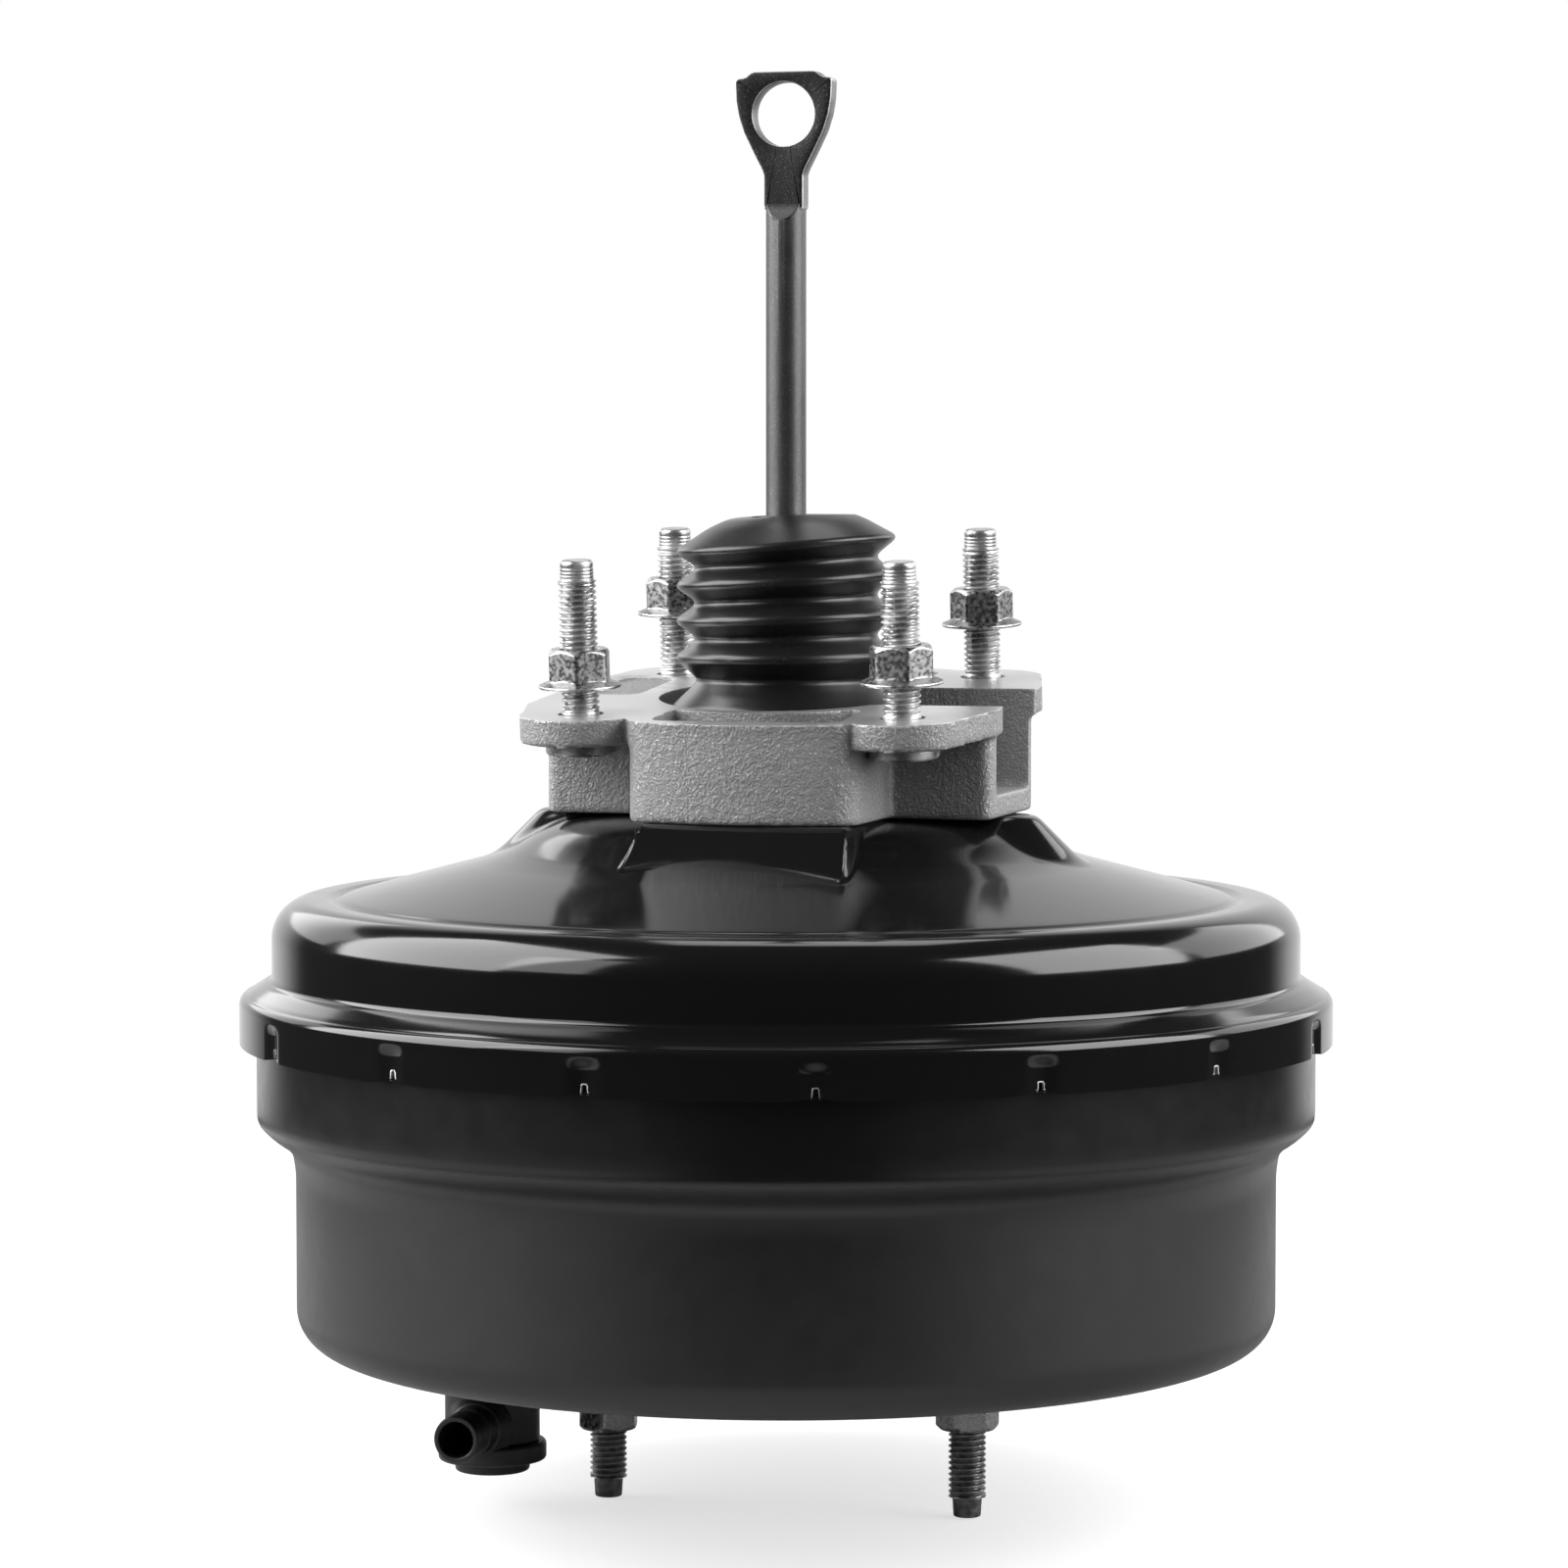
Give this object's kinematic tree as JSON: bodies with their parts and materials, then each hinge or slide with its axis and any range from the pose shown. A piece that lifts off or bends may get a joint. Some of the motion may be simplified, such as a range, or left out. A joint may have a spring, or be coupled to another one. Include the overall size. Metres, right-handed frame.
{
  "type": "brake booster",
  "caption": "Tandem vacuum brake booster with a cast firewall spacer, studs and nuts, a bellows boot over the pedal rod and a swivelling vacuum check valve.",
  "frame": {"origin": "centre of the four firewall studs on the spacer's firewall face, on the booster's axis", "axes": "+Z along the booster's axis towards the pedal rod, -Z towards the master cylinder, -Y the front of the spacer as pictured, +X the side of the spacer's open slot"},
  "size_m": [0.2876, 0.2876, 0.3792],
  "materials": {
    "gloss_black_paint": "glossy black enamel",
    "satin_black_paint": "satin black coating",
    "pressed_steel": "plated sheet",
    "seal_rubber": "moulded rubber",
    "boot_rubber": "semi-gloss black rubber",
    "cast_aluminium": "sand textured casting with a machined face",
    "zinc_plate": "zinc plated steel",
    "spring_steel": "oiled spring steel",
    "piston_resin": "moulded phenolic resin",
    "filter_felt": "felt",
    "filter_foam": "open foam",
    "reaction_rubber": "hard rubber",
    "rod_steel": "forged steel, plated",
    "black_plastic": "black nylon"
  },
  "bodies": {
    "housing": {"front_shell": "satin_black_paint", "rear_shell": "gloss_black_paint", "housing_divider": "pressed_steel", "divider_seal": "seal_rubber", "bearing_seal": "seal_rubber", "mounting_bracket": "cast_aluminium", "firewall_studs": "zinc_plate", "flange_nuts": "zinc_plate", "bracket_studs": "zinc_plate", "bracket_nuts": "zinc_plate", "reinforcement_plate": "pressed_steel", "pad_studs": "zinc_plate", "pad_nuts": "zinc_plate", "front_seal": "seal_rubber", "valve_grommet": "seal_rubber", "boot": "boot_rubber"},
    "piston": {"power_piston": "piston_resin", "rear_plate": "pressed_steel", "front_plate": "pressed_steel", "rear_diaphragm": "seal_rubber", "front_diaphragm": "seal_rubber", "rear_plate_clip": "spring_steel", "front_plate_clip": "spring_steel", "stop_key": "pressed_steel", "reaction_disc": "reaction_rubber", "output_rod": "rod_steel", "rod_retainer": "spring_steel", "poppet_retainer": "pressed_steel", "air_filter": "filter_felt", "air_silencer": "filter_foam", "return_spring": "spring_steel"},
    "plunger": {"valve_plunger": "rod_steel", "reaction_pin": "rod_steel"},
    "poppet_valve": {"poppet": "seal_rubber", "poppet_spring": "spring_steel"},
    "pedal_rod": {"input_rod": "rod_steel", "rod_spring": "spring_steel"},
    "check_valve": {"valve_body": "black_plastic", "valve_cap": "black_plastic", "valve_spring": "spring_steel"},
    "check_disc": {"valve_disc": "seal_rubber"}
  },
  "joints": [
    {"name": "piston_stroke", "type": "slide", "parent": "housing", "child": "piston", "axis": [0, 0, -1], "range_m": [0, 0.032], "stiffness_N_per_m": 3000, "springref_m": -0.05, "deforming": ["boot", "return_spring", "rear_diaphragm", "front_diaphragm"]},
    {"name": "plunger_travel", "type": "slide", "parent": "piston", "child": "plunger", "axis": [0, 0, -1], "range_m": [0, 0.0022], "stiffness_N_per_m": 2000, "springref_m": -0.006, "deforming": ["rod_spring"]},
    {"name": "poppet_follow", "type": "slide", "parent": "piston", "child": "poppet_valve", "axis": [0, 0, -1], "range_m": [0, 0.0006], "stiffness_N_per_m": 500, "springref_m": -0.002, "deforming": ["poppet_spring"]},
    {"name": "rod_swing", "type": "hinge", "parent": "plunger", "child": "pedal_rod", "pos_m": [0, 0, -0.01], "axis": [0, 1, 0], "range_deg": [-3, 3]},
    {"name": "valve_swivel", "type": "hinge", "parent": "housing", "child": "check_valve", "pos_m": [-0.0752, -0.021, -0.19], "axis": [0, 0, 1], "range_deg": [-190, 95]},
    {"name": "disc_lift", "type": "slide", "parent": "check_valve", "child": "check_disc", "axis": [0, 0, -1], "range_m": [0, 0.0015], "stiffness_N_per_m": 200, "springref_m": -0.004, "deforming": ["valve_spring"]}
  ],
  "couplings": [
    {"joint": "poppet_follow", "follows": "plunger_travel", "ratio": 0.2273}
  ]
}
